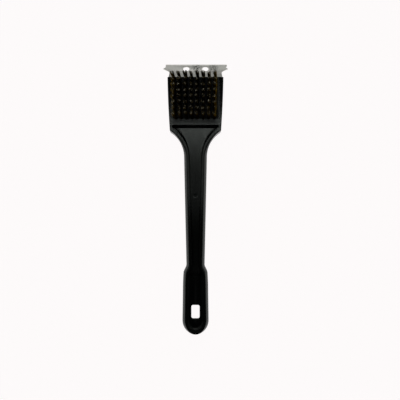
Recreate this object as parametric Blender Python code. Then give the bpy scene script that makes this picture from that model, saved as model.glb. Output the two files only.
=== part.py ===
"""Grill cleaning brush: a moulded head and handle, a bent steel scraper, and 64 tufts of brass wire.

The brush lies on its back. +Z is the side with the bristles, +Y runs from the grip to the scraper,
and the origin is at the middle of the bounding box, on the surface that the brush rests on.
All lengths are in metres.
"""
import math

import bmesh
import bpy
from mathutils import Matrix, Vector

GAP = 0.0003                    # clearance between pieces that touch

# Head: a block that tapers towards the handle.
HEAD_FRONT = 0.1334             # Y of the front wall
HEAD_REAR = 0.0741              # Y of the corners where the shoulders start
HEAD_FRONT_HALF = 0.0309        # half of the width at the front
HEAD_REAR_HALF = 0.0283         # half of the width at the corners
HEAD_BULGE = 0.0004             # how far the sides bow out halfway
HEAD_THICKNESS = 0.0170
HEAD_EDGE = 0.0012              # radius along the edges of the face
HEAD_BACK_EDGE = 0.0030         # radius along the edges of the back
FRONT_EDGE = 0.0005             # radius around the front wall

# Shoulders: one concave arc on each side, tangent to the handle.
SHOULDER_RADIUS = 0.0344
SHOULDER_END = 0.0455           # Y where the arc meets the handle

# Handle: an oval bar with a channel in its upper side.
HANDLE_HALF = 0.0127            # half of the width behind the shoulders
HANDLE_END = -0.0736            # Y where the grip starts to widen
HANDLE_END_HALF = 0.0102
WALL_ROUND = 0.0034             # how far the rounded wall reaches out past the rim
WALL_DROP = 0.0044              # how far the widest line lies below the rim
WALL_START = math.radians(40)   # slope of the rounded wall at the edge of the rim
WALL_END = math.radians(64)     # and at the widest line
BACK_ROUND = 0.0058             # how far the rounding of the back reaches inwards
BACK_RISE = 0.0062              # how high the rounding of the back starts

# Side view, as (Y, Z) from the head to the grip: the rim's upper side, and the back.
RIM_HEIGHTS = ((0.0560, HEAD_THICKNESS), (0.0050, 0.0172), (-0.0800, 0.0142), (-0.1365, 0.0128))
BACK_HEIGHTS = ((0.0800, 0.0), (0.0440, 0.0034), (0.0000, 0.0040), (-0.0900, 0.0))

# Grip: wider than the handle, with an elliptical end.
GRIP_START = -0.0834            # Y where the grip has its full section
GRIP_HALF = 0.0135
GRIP_MIDDLE = -0.1030
GRIP_MIDDLE_HALF = 0.0142
GRIP_PIVOT = -0.1365            # Y of the centre of the end's ellipse
GRIP_PIVOT_HALF = 0.0147
GRIP_END = -0.1525
END_STEEPER = 0.35              # reach of the rounded wall at the very end, as a share of the sides'

# Channel in the handle, which ends in a wide pocket behind the tufts.
RIM_AT_NECK = 0.0052            # from the outline to the inner edge of the rim
RIM_AT_GRIP = 0.0064
POCKET_FRONT = 0.0806           # Y of the pocket's front edge
POCKET_WALL = 0.0020            # how far its front wall slopes
POCKET_CORNER = 0.0020          # radius of its front corners
CHANNEL_DEPTH = 0.0085
CHANNEL_DRAFT = 0.0009          # how far the side walls slope inwards
CHANNEL_END = -0.0845           # Y where the floor starts to rise into the grip
PANEL_START = -0.0866           # Y where the raised panel of the grip starts
PANEL_GROOVE = 0.0012           # depth of the groove around the panel

# Hanging hole through a thin web, over a hollow in the grip's back; gate mark on the channel's floor.
HOLE_FRONT = -0.1183
HOLE_REAR = -0.1333
HOLE_WIDTH = 0.0091
HOLE_CORNER = 0.0020
CORE_FRONT = -0.1145
CORE_REAR = -0.1430
CORE_HALF = 0.0075
CORE_ROOF = 0.0113              # Z of the hollow's inner end
CORE_CORNER = 0.0030
GATE_MARK = (0.0, 0.0024)
GATE_MARK_RADIUS = 0.0028
GATE_MARK_DEPTH = 0.0003

# Tufts: 8 columns that spread a little towards the front, by 8 rows.
COLUMNS = 8
ROWS = 8
FRONT_ROW = 0.1307
REAR_ROW = 0.0883
FRONT_PITCH = 0.00643           # between columns in the front row
REAR_PITCH = 0.00606            # between columns in the rear row
TUFT_HEIGHT = 0.0245            # above the face
TUFT_LEAN = -0.0015             # sideways shift of the tips
TUFT_TIP_RADIUS = 0.0021
TUFT_NECK_RADIUS = 0.0014
TUFT_FOOT_RADIUS = 0.0009
TUFT_FOOT_DEPTH = 0.0037        # from the face to the middle of the hidden link
TUFT_SIDES = 8

# Scraper: sheet steel with a hidden tongue in the head and a blade bent towards the back.
SHEET = 0.0012
TONGUE_HEIGHT = 0.0106          # Z of the middle of the sheet inside the head
TONGUE_HALF = 0.0225
TONGUE_LENGTH = 0.0170
BEND_START = 0.0006             # from the head's front wall to the bend
BEND_RADIUS = 0.0018
BEND_ANGLE = math.radians(28)
BLADE_FRONT = 0.1525            # Y of the cutting edge
BLADE_NECK_HALF = 0.0302
BLADE_WAIST_HALF = 0.02925
BLADE_WAIST = 0.0078
COVE_RADIUS = 0.0040
COVE_ANGLE = math.radians(55)
TOOTH_HALF = 0.03645
TOOTH = 0.0144
NOTCH_HALF = 0.0339
NOTCH = 0.0168
CORNER_HALF = 0.0349
CORNER = 0.0190
EDGE_HALF = 0.0344
EDGE_BEVEL = 0.0009
EDGE_THIN = 0.45                # thickness left at the cutting edge, as a share of the sheet
FRONT_SHIFT = 0.0008            # how far the front edge sits to the right of the middle
BLADE_HOLE_X = 0.0108
BLADE_HOLE_SHIFT = 0.0003       # the same for the two round holes
BLADE_HOLE_Y = 0.0143
BLADE_HOLE_RADIUS = 0.0036
BLADE_REACH = BLADE_FRONT - HEAD_FRONT - BEND_START - EDGE_THIN * SHEET / 2 * math.sin(BEND_ANGLE)
BLADE_STRAIGHT = (BLADE_REACH - BEND_RADIUS * math.sin(BEND_ANGLE)) / math.cos(BEND_ANGLE)
BLADE_LENGTH = BEND_START + BEND_RADIUS * BEND_ANGLE + BLADE_STRAIGHT

# Screws: two self-tapping screws from the back of the head through the tongue.
SCREW_Y = 0.1216
SCREW_X = 0.0127
SCREW_RADIUS = 0.0013
SCREW_HEAD_RADIUS = 0.0026
SCREW_HEAD_HEIGHT = 0.0017
SCREW_HEAD_BOTTOM = 0.0004      # Z of the top of the screw's head, inside its counterbore
SCREW_TIP = 0.0148              # Z of the screw's point
SCREW_CONE = 0.0016
RECESS_WIDTH = 0.0006
RECESS_LENGTH = 0.0028
RECESS_DEPTH = 0.0009


def clear_scene():
    for thing in list(bpy.data.objects):
        bpy.data.objects.remove(thing, do_unlink=True)


def make_material(name, color, roughness, metallic):
    material = bpy.data.materials.new(name)
    material.use_nodes = True
    shader = material.node_tree.nodes["Principled BSDF"]
    shader.inputs["Base Color"].default_value = (*color, 1.0)
    shader.inputs["Roughness"].default_value = roughness
    shader.inputs["Metallic"].default_value = metallic
    return material


def add_object(name, mesh, parent, material=None, location=(0, 0, 0), turn=0.0):
    thing = bpy.data.objects.new(name, mesh)
    bpy.context.collection.objects.link(thing)
    thing.parent = parent
    thing.location = location
    thing.rotation_euler = (0, 0, turn)
    if material is not None:
        mesh.materials.clear()
        mesh.materials.append(material)
    return thing


def mesh_from(name, bm, smooth_angle=None):
    """Turn a bmesh into a mesh whose faces point out."""
    bmesh.ops.recalc_face_normals(bm, faces=bm.faces)
    mesh = bpy.data.meshes.new(name)
    bm.to_mesh(mesh)
    bm.free()
    if smooth_angle is not None:
        mesh.shade_smooth()
        mesh.set_sharp_from_angle(angle=smooth_angle)
    return mesh


def ease(value, start, end):
    """Go smoothly from 0 at start to 1 at end."""
    t = min(max((value - start) / (end - start), 0.0), 1.0)
    return t * t * (3 - 2 * t)


def mix(a, b, t):
    return a + (b - a) * t


def follow(y, stops):
    """Read a smooth curve through (y, value) stops, which run from the front to the rear."""
    if y >= stops[0][0]:
        return stops[0][1]
    for (y0, v0), (y1, v1) in zip(stops, stops[1:]):
        if y >= y1:
            return mix(v0, v1, ease(y, y0, y1))
    return stops[-1][1]


# ---------------------------------------------------------------- the body's outline and section

def arc_half(y, radius):
    """Half-width at y of an arc around the shoulder's centre."""
    centre_x = HANDLE_HALF + SHOULDER_RADIUS
    rise = min(y - SHOULDER_END, radius)
    return centre_x - math.sqrt(radius * radius - rise * rise)


def outline_half(y):
    """Half of the body's greatest width at y."""
    if y >= HEAD_REAR:
        t = (HEAD_FRONT - y) / (HEAD_FRONT - HEAD_REAR)
        return mix(HEAD_FRONT_HALF, HEAD_REAR_HALF, t) + HEAD_BULGE * 4 * t * (1 - t)
    if y >= SHOULDER_END:
        return min(arc_half(y, SHOULDER_RADIUS), HEAD_REAR_HALF)
    if y >= HANDLE_END:
        return mix(HANDLE_END_HALF, HANDLE_HALF, (y - HANDLE_END) / (SHOULDER_END - HANDLE_END))
    if y >= GRIP_START:
        return mix(GRIP_HALF, HANDLE_END_HALF, ease(y, GRIP_START, HANDLE_END))
    if y >= GRIP_MIDDLE:
        t = (GRIP_START - y) / (GRIP_START - GRIP_MIDDLE)
        return mix(GRIP_HALF, GRIP_MIDDLE_HALF, t * (2 - t))
    return mix(GRIP_MIDDLE_HALF, GRIP_PIVOT_HALF, (GRIP_MIDDLE - y) / (GRIP_MIDDLE - GRIP_PIVOT))


def channel_half(y):
    """Half of the width between the inner edges of the rim."""
    if y >= SHOULDER_END:
        reach = POCKET_FRONT - POCKET_CORNER
        half = arc_half(min(y, reach), SHOULDER_RADIUS + RIM_AT_NECK)
        into_corner = min(max(y - reach, 0.0), POCKET_CORNER)
        return half - POCKET_CORNER + math.sqrt(POCKET_CORNER ** 2 - into_corner ** 2)
    rim = mix(RIM_AT_GRIP, RIM_AT_NECK, ease(y, HANDLE_END, SHOULDER_END))
    return outline_half(y) - rim


def channel_depths(y):
    """Depth below the rim in the middle of the channel and at its sides."""
    wall = ease(y, POCKET_FRONT, POCKET_FRONT - POCKET_WALL)
    panel = min(max((CHANNEL_END - y) / (CHANNEL_END - PANEL_START), 0.0), 1.0)
    middle = CHANNEL_DEPTH * wall * (1 - panel)
    side = mix(CHANNEL_DEPTH * wall, PANEL_GROOVE, panel)
    return middle, side


def half_section(y, inset=0.0):
    """(x, z) points from the middle of the upper side, round the wall, to the middle of the back."""
    top = follow(y, RIM_HEIGHTS) - inset
    back = follow(y, BACK_HEIGHTS) + inset
    half = outline_half(y) - inset
    inner = channel_half(y)
    middle, side = channel_depths(y)
    floor = inner - CHANNEL_DRAFT
    crown = mix(middle, side, 0.36)
    block = ease(y, SHOULDER_END, HEAD_REAR)
    reach = mix(WALL_ROUND, HEAD_EDGE, block)
    drop = mix(WALL_DROP, HEAD_EDGE, block)
    start = mix(WALL_START, 0.0, block)
    finish = mix(WALL_END, math.pi / 2, block)
    back_reach = mix(BACK_ROUND, HEAD_BACK_EDGE, block)
    back_rise = mix(BACK_RISE, HEAD_BACK_EDGE, block)
    points = [(0.0, top - middle), (floor * 0.6, top - crown), (floor, top - side)]
    points.append((mix(floor, inner, 0.7), top - side * 0.75))
    points.append((inner, top))
    for step in range(5):
        angle = mix(start, finish, step / 4)
        out = (math.sin(angle) - math.sin(start)) / (math.sin(finish) - math.sin(start))
        down = (math.cos(start) - math.cos(angle)) / (math.cos(start) - math.cos(finish))
        points.append((half - reach * (1 - out), top - drop * down))
    for step in range(4):
        angle = math.pi / 2 * step / 3
        points.append((half - back_reach * (1 - math.cos(angle)), back + back_rise * (1 - math.sin(angle))))
    points.append((0.0, back))
    return points


def body_stations():
    """Y of each section between the front wall and the grip's end, and how far it is inset."""
    front = []
    for step in range(4):
        angle = math.pi / 2 * step / 3
        front.append((HEAD_FRONT - FRONT_EDGE * (1 - math.cos(angle)), FRONT_EDGE * (1 - math.sin(angle))))
    stretches = [(0.1200, HEAD_REAR + 0.0070, 3), (POCKET_FRONT, POCKET_FRONT - POCKET_WALL, 5),
                 (HEAD_REAR + 0.0018, HEAD_REAR, 2), (HEAD_REAR - 0.0012, SHOULDER_END, 14),
                 (0.0340, HANDLE_END + 0.0100, 7), (HANDLE_END, CHANNEL_END, 8),
                 (CHANNEL_END - 0.0008, PANEL_START, 5), (-0.0900, GRIP_PIVOT, 5)]
    plain = []
    for start, end, count in stretches:
        plain += [(mix(start, end, step / (count - 1)), 0.0) for step in range(count)]
    return front + plain


def make_body_mesh():
    bm = bmesh.new()
    rings = []
    for y, inset in body_stations():
        half = half_section(y, inset)
        right = [bm.verts.new((x, y, z)) for x, z in half]
        left = [bm.verts.new((-x, y, z)) for x, z in reversed(half[1:-1])]
        rings.append(right + left)
    count = len(rings[0])
    for ahead, behind in zip(rings, rings[1:]):
        for i in range(count):
            j = (i + 1) % count
            bm.faces.new((ahead[i], ahead[j], behind[j], behind[i]))
    front = rings[0]
    middle = count // 2
    for i in range(count):
        if i not in (middle - 1, middle):
            bm.faces.new((front[middle], front[(i + 1) % count], front[i]))
    close_grip_end(bm, rings[-1])
    bmesh.ops.triangulate(bm, faces=[face for face in bm.faces if len(face.verts) > 3])
    return mesh_from("brush_body", bm, math.radians(35))


def close_grip_end(bm, last):
    """Turn the last half-section about the ellipse's centre, from the right side to the left."""
    steps = 14
    half = len(last) // 2 + 1
    stretch = (GRIP_PIVOT - GRIP_END) / GRIP_PIVOT_HALF
    right = last[:half]
    left = [last[0]] + last[:half - 2:-1]
    waist = follow(GRIP_PIVOT, RIM_HEIGHTS) - WALL_DROP
    wall = GRIP_PIVOT_HALF - WALL_ROUND
    fans = [right]
    for step in range(1, steps):
        angle = math.pi * step / steps
        share = mix(1.0, END_STEEPER, math.sin(angle) ** 2)
        spoke = [right[0]]
        for vert in right[1:-1]:
            across, _, z = vert.co
            if z > waist and across > wall - 1e-6:
                across = GRIP_PIVOT_HALF - (GRIP_PIVOT_HALF - across) * share
            x = across * math.cos(angle)
            y = GRIP_PIVOT - across * stretch * math.sin(angle)
            spoke.append(bm.verts.new((x, y, z)))
        fans.append(spoke + [right[-1]])
    fans.append(left)
    for here, there in zip(fans, fans[1:]):
        for i in range(half - 1):
            corners = [here[i], here[i + 1], there[i + 1], there[i]]
            bm.faces.new(list(dict.fromkeys(corners)))


# ---------------------------------------------------------------- tufts

def pitch_at(y):
    return mix(REAR_PITCH, FRONT_PITCH, (y - REAR_ROW) / (FRONT_ROW - REAR_ROW))


def tuft_pair_places():
    """Row pair, column, middle of the pair on the face, and the turn of its line of tufts."""
    row_pitch = (FRONT_ROW - REAR_ROW) / (ROWS - 1)
    places = []
    for pair in range(ROWS // 2):
        y = FRONT_ROW - row_pitch * (2 * pair + 0.5)
        for column in range(COLUMNS):
            offset = column - (COLUMNS - 1) / 2
            spread = offset * (FRONT_PITCH - REAR_PITCH) / (FRONT_ROW - REAR_ROW)
            places.append((pair, column, Vector((offset * pitch_at(y), y, HEAD_THICKNESS)), -math.atan(spread)))
    return places


def make_tuft_pair_bmesh(hole=False):
    """Two tufts as one bundle that runs down one hole, along below the face, and up the next.

    As a hole it is wider by the gap and ends just above the face.
    """
    reach = (FRONT_ROW - REAR_ROW) / (ROWS - 1) / 2
    extra = GAP if hole else 0.0
    neck = TUFT_NECK_RADIUS + extra
    foot = TUFT_FOOT_RADIUS + extra
    tip = TUFT_TIP_RADIUS
    above = [(TUFT_HEIGHT, 0.7 * tip), (TUFT_HEIGHT - 0.0009, tip), (TUFT_HEIGHT * 0.5, mix(neck, tip, 0.5))]
    if hole:
        above = [(0.0020, neck)]
    path = []
    for z, radius in above:
        path.append(((TUFT_LEAN * z / TUFT_HEIGHT, reach, z), radius, (0, 1, 0)))
    path.append(((0, reach, 0), neck, (0, 1, 0)))
    path.append(((0, reach, -TUFT_FOOT_DEPTH), foot, (0, 1, -1)))
    path.append(((0, -reach, -TUFT_FOOT_DEPTH), foot, (0, -1, -1)))
    path.append(((0, -reach, 0), neck, (0, -1, 0)))
    for z, radius in reversed(above):
        path.append(((TUFT_LEAN * z / TUFT_HEIGHT, -reach, z), radius, (0, -1, 0)))
    bm = bmesh.new()
    rings = []
    for centre, radius, outward in path:
        ring = []
        for side in range(TUFT_SIDES):
            angle = 2 * math.pi * (side + 0.5) / TUFT_SIDES
            offset = Vector((1, 0, 0)) * math.cos(angle) + Vector(outward) * math.sin(angle)
            ring.append(bm.verts.new(Vector(centre) + offset * radius))
        rings.append(ring)
    for ahead, behind in zip(rings, rings[1:]):
        for i in range(TUFT_SIDES):
            j = (i + 1) % TUFT_SIDES
            bm.faces.new((ahead[i], ahead[j], behind[j], behind[i]))
    bm.faces.new(rings[0])
    bm.faces.new(rings[-1])
    return bm


def make_tufts(parent, brass):
    mesh = mesh_from("tuft_pair", make_tuft_pair_bmesh(), math.radians(40))
    for pair, column, place, turn in tuft_pair_places():
        name = f"tufts_rows_{2 * pair + 1}_{2 * pair + 2}_column_{column + 1}"
        add_object(name, mesh, parent, brass, place, turn)


def make_tuft_hole_mesh():
    """All the holes for the tufts, with the gap around each tuft."""
    whole = bmesh.new()
    one = mesh_from("tuft_hole", make_tuft_pair_bmesh(hole=True))
    for _, _, place, turn in tuft_pair_places():
        part = bmesh.new()
        part.from_mesh(one)
        part.transform(Matrix.Translation(place) @ Matrix.Rotation(turn, 4, "Z"))
        placed = bpy.data.meshes.new("placed")
        part.to_mesh(placed)
        part.free()
        whole.from_mesh(placed)
        bpy.data.meshes.remove(placed)
    bpy.data.meshes.remove(one)
    return mesh_from("tuft_holes", whole)


# ---------------------------------------------------------------- scraper

def scraper_side(side):
    """Points of the flat sheet on one side (-1 or 1), as (x, distance from the head's front wall)."""
    points = [(TONGUE_HALF, -TONGUE_LENGTH), (TONGUE_HALF, GAP), (BLADE_NECK_HALF, GAP)]
    for step in range(5):
        angle = COVE_ANGLE * step / 4
        x = BLADE_WAIST_HALF + COVE_RADIUS * (1 - math.cos(angle))
        points.append((x, BLADE_WAIST + COVE_RADIUS * math.sin(angle)))
    shift = FRONT_SHIFT * side
    points += [(TOOTH_HALF, TOOTH), (NOTCH_HALF, NOTCH), (CORNER_HALF + shift, CORNER),
               (EDGE_HALF + shift, BLADE_LENGTH)]
    return [(side * x, distance) for x, distance in points]


def circle(x, y, radius, count):
    return [(x + radius * math.cos(2 * math.pi * i / count), y + radius * math.sin(2 * math.pi * i / count))
            for i in range(count)]


def bend(distance, height):
    """Carry a point of the flat sheet to its place on the bent sheet, as (y, z)."""
    turned = min(max((distance - BEND_START) / BEND_RADIUS, 0.0), BEND_ANGLE)
    straight = distance - BEND_START - BEND_RADIUS * turned
    y = BEND_START + (BEND_RADIUS + height) * math.sin(turned) + straight * math.cos(turned)
    z = (BEND_RADIUS + height) * math.cos(turned) - BEND_RADIUS - straight * math.sin(turned)
    return HEAD_FRONT + y, TONGUE_HEIGHT + z


def make_scraper(parent, steel):
    loops = [scraper_side(1) + scraper_side(-1)[::-1]]
    for side in (-1, 1):
        loops.append(circle(side * BLADE_HOLE_X + BLADE_HOLE_SHIFT, BLADE_HOLE_Y, BLADE_HOLE_RADIUS, 28))
        loops.append(circle(side * SCREW_X, SCREW_Y - HEAD_FRONT, SCREW_RADIUS + GAP, 16))
    curve = bpy.data.curves.new("scraper_sheet", "CURVE")
    curve.dimensions = "2D"
    curve.fill_mode = "BOTH"
    curve.extrude = SHEET / 2
    for loop in loops:
        spline = curve.splines.new("POLY")
        spline.points.add(len(loop) - 1)
        for point, (x, y) in zip(spline.points, loop):
            point.co = (x, y, 0, 1)
        spline.use_cyclic_u = True
    flat = bpy.data.objects.new("scraper_sheet", curve)
    bm = bmesh.new()
    bm.from_mesh(flat.to_mesh())
    flat.to_mesh_clear()
    bpy.data.objects.remove(flat, do_unlink=True)
    bmesh.ops.remove_doubles(bm, verts=bm.verts, dist=1e-6)
    creases = [BEND_START + BEND_RADIUS * BEND_ANGLE * i / 4 for i in range(5)] + [BLADE_LENGTH - EDGE_BEVEL]
    for crease in creases:
        everything = bm.verts[:] + bm.edges[:] + bm.faces[:]
        bmesh.ops.bisect_plane(bm, geom=everything, plane_co=(0, crease, 0), plane_no=(0, 1, 0), dist=1e-6)
    for vert in bm.verts:
        distance, height = vert.co.y, vert.co.z
        past = max(distance - (BLADE_LENGTH - EDGE_BEVEL), 0.0) / EDGE_BEVEL
        vert.co.y, vert.co.z = bend(distance, height * mix(1, EDGE_THIN, past))
    add_object("scraper_blade", mesh_from("scraper_blade", bm, math.radians(30)), parent, steel)


# ---------------------------------------------------------------- screws

def make_turned(name, profile, steps):
    """Turn an (radius, z) profile that starts and ends on the axis."""
    bm = bmesh.new()
    verts = [bm.verts.new((radius, 0, z)) for radius, z in profile]
    edges = [bm.edges.new(pair) for pair in zip(verts, verts[1:])]
    bmesh.ops.spin(bm, geom=verts + edges, cent=(0, 0, 0), axis=(0, 0, 1), angle=2 * math.pi,
                   steps=steps, use_merge=True)
    bmesh.ops.remove_doubles(bm, verts=bm.verts, dist=1e-7)
    return mesh_from(name, bm, math.radians(40))


def make_screws(parent, steel):
    """The screws stand on the axis of their holes, with the origin at the outer face of the head."""
    seat = SCREW_HEAD_HEIGHT
    end = SCREW_TIP - SCREW_HEAD_BOTTOM
    profile = [(0, 0), (SCREW_HEAD_RADIUS * 0.66, 0), (SCREW_HEAD_RADIUS * 0.92, seat * 0.28),
               (SCREW_HEAD_RADIUS, seat * 0.6), (SCREW_HEAD_RADIUS, seat), (SCREW_RADIUS, seat),
               (SCREW_RADIUS, end - SCREW_CONE), (SCREW_RADIUS * 0.25, end), (0, end)]
    mesh = make_turned("screw", profile, 16)
    recess = make_cross_mesh()
    for side, name in ((-1, "scraper_screw_left"), (1, "scraper_screw_right")):
        place = (side * SCREW_X, SCREW_Y, SCREW_HEAD_BOTTOM)
        screw = add_object(name, mesh, parent, steel, place, math.radians(20) * side)
        cutter = add_cutter(name + "_recess", recess, parent)
        cutter.location = place
        cutter.rotation_euler = screw.rotation_euler
        cut(screw, cutter, "cross recess")


def make_cross_mesh():
    bm = bmesh.new()
    corners = []
    for quarter in range(4):
        turn = Matrix.Rotation(quarter * math.pi / 2, 3, "Z")
        arm = [(RECESS_WIDTH / 2, -RECESS_WIDTH / 2), (RECESS_LENGTH / 2, -RECESS_WIDTH / 2),
               (RECESS_LENGTH / 2, RECESS_WIDTH / 2)]
        corners += [turn @ Vector((x, y, -0.001)) for x, y in arm]
    face = bm.faces.new([bm.verts.new(corner) for corner in corners])
    top = bmesh.ops.extrude_face_region(bm, geom=[face])["geom"]
    verts = [item for item in top if isinstance(item, bmesh.types.BMVert)]
    bmesh.ops.translate(bm, verts=verts, vec=(0, 0, 0.001 + RECESS_DEPTH))
    return mesh_from("cross_recess", bm)


# ---------------------------------------------------------------- holes in the body

def add_cutter(name, mesh, parent):
    cutter = add_object(name, mesh, parent)
    cutter.hide_render = True
    cutter.display_type = "WIRE"
    return cutter


def cut(thing, cutter, label):
    modifier = thing.modifiers.new(label, "BOOLEAN")
    modifier.operation = "DIFFERENCE"
    modifier.solver = "EXACT"
    modifier.object = cutter


def make_prism(name, outline, bottom, top):
    bm = bmesh.new()
    face = bm.faces.new([bm.verts.new((x, y, bottom)) for x, y in outline])
    raised = bmesh.ops.extrude_face_region(bm, geom=[face])["geom"]
    verts = [item for item in raised if isinstance(item, bmesh.types.BMVert)]
    bmesh.ops.translate(bm, verts=verts, vec=(0, 0, top - bottom))
    return mesh_from(name, bm)


def rounded_rectangle(x0, x1, y0, y1, radius, steps):
    centres = [(x1 - radius, y1 - radius, 0), (x0 + radius, y1 - radius, 1),
               (x0 + radius, y0 + radius, 2), (x1 - radius, y0 + radius, 3)]
    points = []
    for x, y, quarter in centres:
        for step in range(steps + 1):
            angle = math.pi / 2 * (quarter + step / steps)
            points.append((x + radius * math.cos(angle), y + radius * math.sin(angle)))
    return points


def make_body(parent, plastic):
    body = add_object("brush_body", make_body_mesh(), parent, plastic)
    cut(body, add_cutter("tuft_hole_cutter", make_tuft_hole_mesh(), parent), "tuft holes")

    slot_half = TONGUE_HALF + GAP
    slot = [(-slot_half, HEAD_FRONT - TONGUE_LENGTH - GAP), (slot_half, HEAD_FRONT - TONGUE_LENGTH - GAP),
            (slot_half, HEAD_FRONT + 0.002), (-slot_half, HEAD_FRONT + 0.002)]
    low = TONGUE_HEIGHT - SHEET / 2 - GAP
    slot_mesh = make_prism("scraper_slot", slot, low, low + SHEET + 2 * GAP)
    cut(body, add_cutter("scraper_slot_cutter", slot_mesh, parent), "scraper slot")

    bore = SCREW_HEAD_RADIUS + GAP
    seat = SCREW_HEAD_BOTTOM + SCREW_HEAD_HEIGHT + GAP
    pilot = [(0, -0.002), (bore, -0.002), (bore, seat), (SCREW_RADIUS + GAP, seat),
             (SCREW_RADIUS + GAP, SCREW_TIP + GAP), (0, SCREW_TIP + GAP)]
    for side, label in ((-1, "left"), (1, "right")):
        cutter = add_cutter(f"screw_hole_cutter_{label}", make_turned("screw_hole", pilot, 16), parent)
        cutter.location = (side * SCREW_X, SCREW_Y, 0)
        cut(body, cutter, f"screw hole {label}")

    core = rounded_rectangle(-CORE_HALF, CORE_HALF, CORE_REAR, CORE_FRONT, CORE_CORNER, 5)
    cut(body, add_cutter("core_cutter", make_prism("core", core, -0.002, CORE_ROOF), parent), "core")

    hole = rounded_rectangle(-HOLE_WIDTH / 2, HOLE_WIDTH / 2, HOLE_REAR, HOLE_FRONT, HOLE_CORNER, 5)
    cut(body, add_cutter("hanging_hole_cutter", make_prism("hanging_hole", hole, -0.002, 0.020), parent),
        "hanging hole")

    floor = follow(GATE_MARK[1], RIM_HEIGHTS) - CHANNEL_DEPTH
    disc = circle(*GATE_MARK, GATE_MARK_RADIUS, 20)
    mark = make_prism("gate_mark", disc, floor - GATE_MARK_DEPTH, floor + 0.002)
    cut(body, add_cutter("gate_mark_cutter", mark, parent), "gate mark")


def main():
    clear_scene()
    brush = bpy.data.objects.new("grill_brush", None)
    bpy.context.collection.objects.link(brush)
    plastic = make_material("black_plastic", (0.012, 0.012, 0.012), 0.42, 0.0)
    steel = make_material("scraper_steel", (0.62, 0.62, 0.59), 0.34, 1.0)
    zinc = make_material("zinc_plated_steel", (0.55, 0.55, 0.54), 0.40, 1.0)
    brass = make_material("brass_wire", (0.36, 0.26, 0.10), 0.38, 1.0)
    make_body(brush, plastic)
    make_scraper(brush, steel)
    make_screws(brush, zinc)
    make_tufts(brush, brass)
    bpy.context.view_layer.update()


main()
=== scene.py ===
"""Looks of the grill cleaning brush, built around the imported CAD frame.

The brush lies on its back on a pale floor. +Z is the side with the bristles and +Y runs from the grip
to the scraper. All lengths are in metres.
"""
import math
import random

import bmesh
import bpy
from mathutils import Matrix, Vector


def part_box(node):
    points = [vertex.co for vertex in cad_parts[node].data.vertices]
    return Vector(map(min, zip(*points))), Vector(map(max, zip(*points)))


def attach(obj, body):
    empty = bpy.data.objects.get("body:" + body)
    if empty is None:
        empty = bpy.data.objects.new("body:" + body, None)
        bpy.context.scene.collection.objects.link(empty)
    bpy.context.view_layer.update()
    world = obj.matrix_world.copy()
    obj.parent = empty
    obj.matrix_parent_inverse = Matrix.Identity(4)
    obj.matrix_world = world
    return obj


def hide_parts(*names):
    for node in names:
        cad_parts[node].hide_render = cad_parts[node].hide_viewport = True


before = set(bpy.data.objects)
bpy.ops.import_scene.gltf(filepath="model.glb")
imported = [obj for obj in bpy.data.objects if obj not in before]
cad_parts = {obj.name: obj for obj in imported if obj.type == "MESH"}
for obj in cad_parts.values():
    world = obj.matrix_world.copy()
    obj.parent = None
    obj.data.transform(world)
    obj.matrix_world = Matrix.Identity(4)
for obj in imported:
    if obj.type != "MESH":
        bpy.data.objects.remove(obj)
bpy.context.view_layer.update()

BODY_LOW, BODY_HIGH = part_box("brush_body")
BLADE_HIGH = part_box("scraper_blade")[1]
TUFT_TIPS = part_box("tufts_rows_1_2_column_1")[1].z

GAP = 0.0003                    # clearance between pieces that touch
CLEAR = 0.0006                  # how far a rounded hole's cutter goes past the surface that it opens

# Head, shoulders and handle: the same outline as the CAD body.
HEAD_FRONT = BODY_HIGH.y
HEAD_REAR = 0.0741
HEAD_FRONT_HALF = 0.0309
HEAD_REAR_HALF = 0.0283
HEAD_BULGE = 0.0004
HEAD_FACE = 0.0170              # Z of the face that the tufts stand on
HEAD_EDGE = 0.0012
HEAD_BACK_EDGE = 0.0030
FRONT_EDGE = 0.0005
CORNER_BLEND = 0.0005           # rounding where the head meets the shoulders
SHOULDER_RADIUS = 0.0344
SHOULDER_END = 0.0455
HANDLE_HALF = 0.0127
HANDLE_END = -0.0736
HANDLE_END_HALF = 0.0102
WALL_ROUND = 0.0034
WALL_DROP = 0.0044
WALL_START = math.radians(40)   # slope of the rounded wall at the rim, and at the widest line
WALL_END = math.radians(64)
WALL_FILLET = 0.00025
BACK_ROUND = 0.0058
BACK_RISE = 0.0062
RIM_HEIGHTS = ((0.0560, HEAD_FACE), (0.0050, 0.0172), (-0.0800, 0.0142), (-0.1365, 0.0128))
BACK_HEIGHTS = ((0.0800, 0.0), (0.0440, 0.0034), (0.0000, 0.0040), (-0.0900, 0.0))
GRIP_START = -0.0834
GRIP_HALF = 0.0135
GRIP_MIDDLE = -0.1030
GRIP_MIDDLE_HALF = 0.0142
GRIP_PIVOT = -0.1365
GRIP_PIVOT_HALF = 0.0147
GRIP_END = BODY_LOW.y
END_STEEPER = 0.35              # reach of the rounded wall at the very end, as a share of the sides'

# Channel, pocket, panel, and the openings in the body.
RIM_AT_NECK = 0.0052
RIM_AT_GRIP = 0.0064
RIM_CROWN = 0.00008             # how far the rim bulges between its edges
POCKET_FRONT = 0.0806
POCKET_WALL = 0.0020
POCKET_CORNER = 0.0020
CHANNEL_DEPTH = 0.0085
CHANNEL_DRAFT = 0.0009
CHANNEL_FILLET = 0.0013
CHANNEL_END = -0.0845
PANEL_START = -0.0866
PANEL_CREASE = 0.10             # rounding of the ramp's upper edge, as a share of its height
PANEL_GROOVE = 0.0012
RIM_FILLET = 0.00045
SEAM_PROUD = 0.00007            # how far the mould's parting line stands out
SEAM_HALF = 0.00022
HOLE_FRONT = -0.1183
HOLE_REAR = -0.1333
HOLE_WIDTH = 0.0091
HOLE_CORNER = 0.0020
HOLE_FLARE = 0.0003
CORE_FRONT = -0.1145            # hollow in the grip's back, around the hanging hole
CORE_REAR = -0.1430
CORE_HALF = 0.0075
CORE_ROOF = 0.0113
CORE_CORNER = 0.0030
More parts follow.
